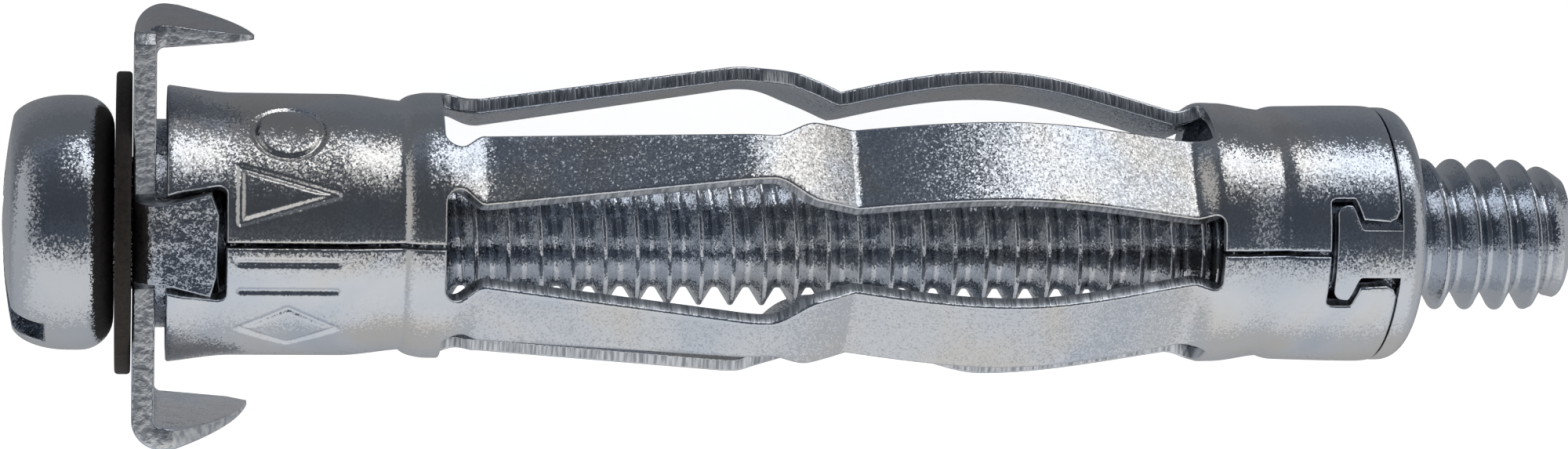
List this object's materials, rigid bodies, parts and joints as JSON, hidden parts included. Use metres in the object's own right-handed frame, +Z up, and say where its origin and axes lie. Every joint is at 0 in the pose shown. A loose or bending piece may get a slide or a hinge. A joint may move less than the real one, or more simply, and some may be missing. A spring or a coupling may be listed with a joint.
{
  "type": "hollow wall anchor",
  "caption": "Hollow wall anchor: a machine screw through a washer, a spurred flange and a slotted sleeve into a threaded end nut; the screw turns and travels on its thread.",
  "frame": {"origin": "centre of the bounding box's bottom, where the anchor lies on one of its legs", "axes": "+X along the screw's axis from its head to its tip, +Y along the flange's long side, +Z up through the sleeve's seam"},
  "size_m": [0.0629, 0.0164, 0.0122],
  "materials": {
    "screw": "bright zinc-plated steel, slightly blue, glossy",
    "washer": "dark brown-black pressed fibre, matte",
    "flange": "bright zinc-plated sheet steel, satin",
    "sleeve": "bright zinc-plated sheet steel, satin with a fine grain",
    "end_nut": "bright zinc-plated sheet steel, satin"
  },
  "bodies": {
    "anchor": {"sleeve": "sleeve", "flange": "flange", "end_nut": "end_nut"},
    "washer": {"washer": "washer"},
    "screw": {"screw": "screw"}
  },
  "joints": [
    {"name": "screw_travel", "type": "slide", "parent": "anchor", "child": "washer", "axis": [-1, 0, 0], "range_m": [0, 0.00762]},
    {"name": "screw_turn", "type": "hinge", "parent": "washer", "child": "screw", "pos_m": [0, 0, 0.00621], "axis": [-1, 0, 0], "range_deg": [0, 2160]}
  ],
  "couplings": [
    {"joint": "screw_turn", "follows": "screw_travel", "rad_per_m": 4947.4}
  ]
}
